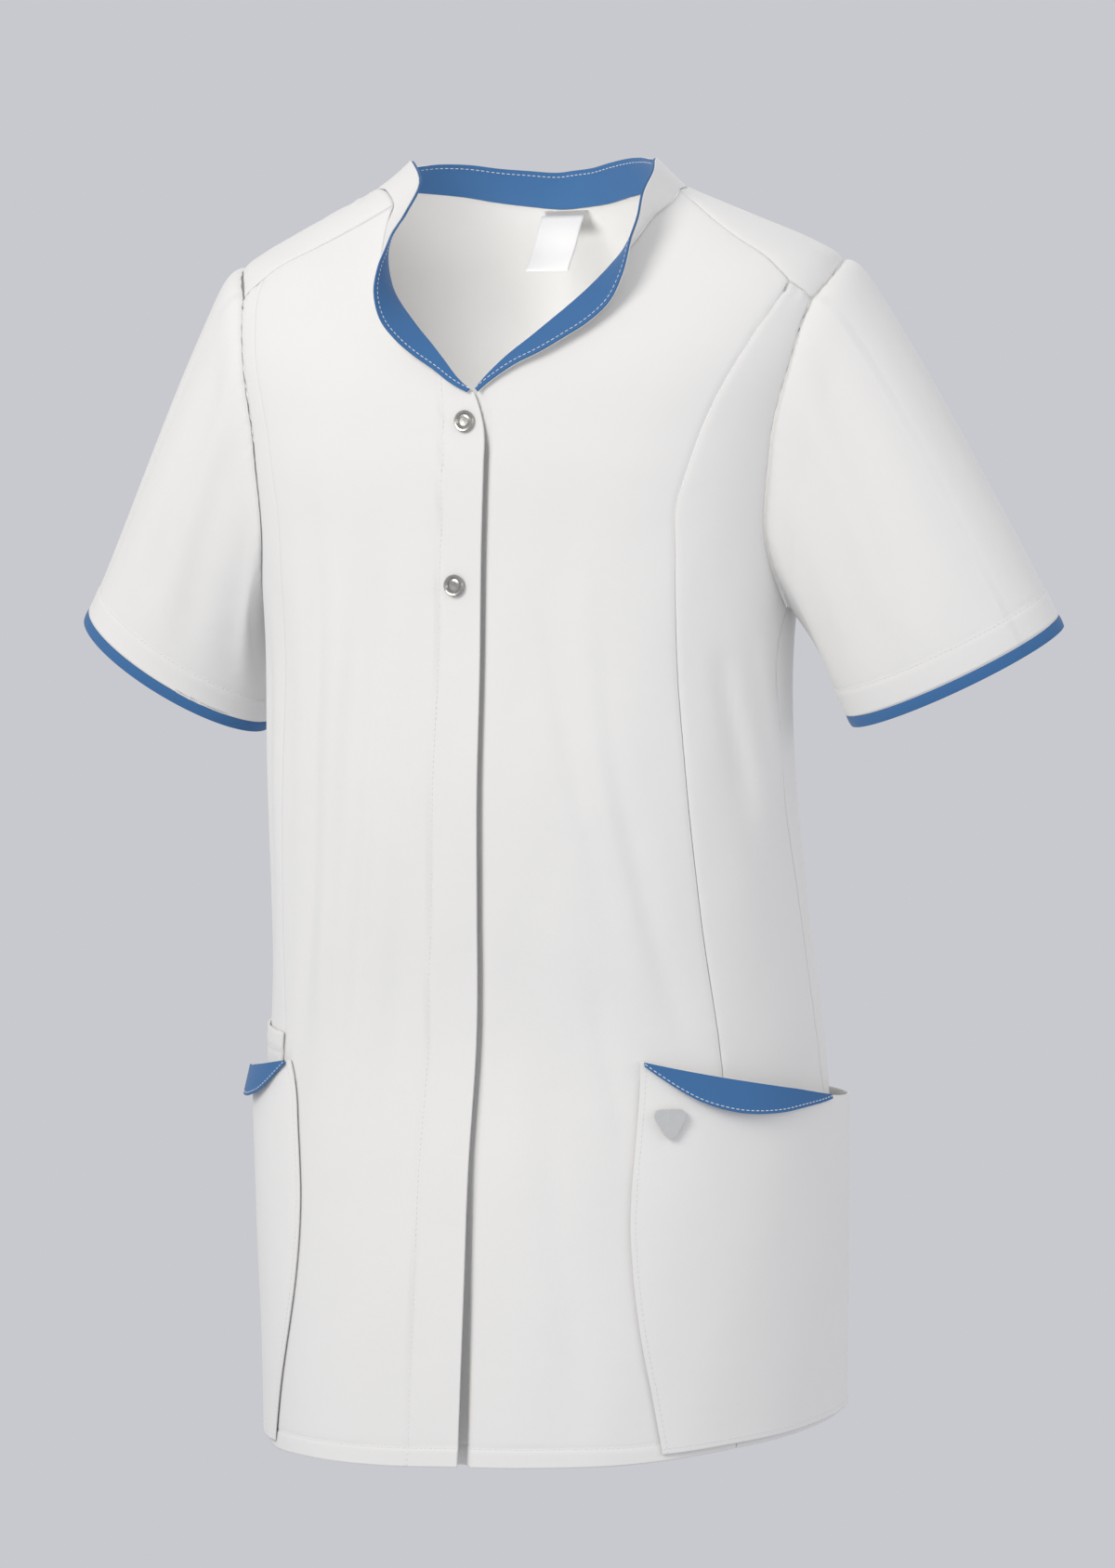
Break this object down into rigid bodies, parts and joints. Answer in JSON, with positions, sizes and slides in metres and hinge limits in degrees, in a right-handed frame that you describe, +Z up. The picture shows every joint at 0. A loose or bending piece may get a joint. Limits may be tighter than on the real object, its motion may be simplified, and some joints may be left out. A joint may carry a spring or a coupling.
{
  "type": "short-sleeved work tunic",
  "caption": "Short-sleeved wrap-front work tunic in twill with a stand collar, snap placket, princess seams, contrast edging and side hip pockets, filled out as worn.",
  "frame": {"origin": "middle of the neck base, level with the shoulder seams at the neck, where the wearer's shoulders hold the tunic up", "axes": "+Z up, -Y towards the front opening, +X towards the wearer's left"},
  "size_m": [0.6393, 0.2862, 0.7739],
  "materials": {
    "white_twill": "fine smooth polyester-cotton twill, matt",
    "blue_twill": "fine smooth polyester-cotton twill, matt",
    "nickel": "satin nickel plate"
  },
  "bodies": {
    "root": {"front_left": "white_twill", "front_right": "white_twill", "side_front_left": "white_twill", "side_front_right": "white_twill", "back": "white_twill", "sleeve_left": "white_twill", "sleeve_right": "white_twill", "collar_outer": "white_twill", "pocket_left": "white_twill", "pocket_right": "white_twill", "phone_pocket": "white_twill", "neck_label": "white_twill", "collar_facing": "blue_twill", "cuff_edge_left": "blue_twill", "cuff_edge_right": "blue_twill", "pocket_facing_left": "blue_twill", "pocket_facing_right": "blue_twill", "snap_upper": "nickel", "snap_lower": "nickel", "pocket_badge": "nickel"}
  },
  "joints": []
}
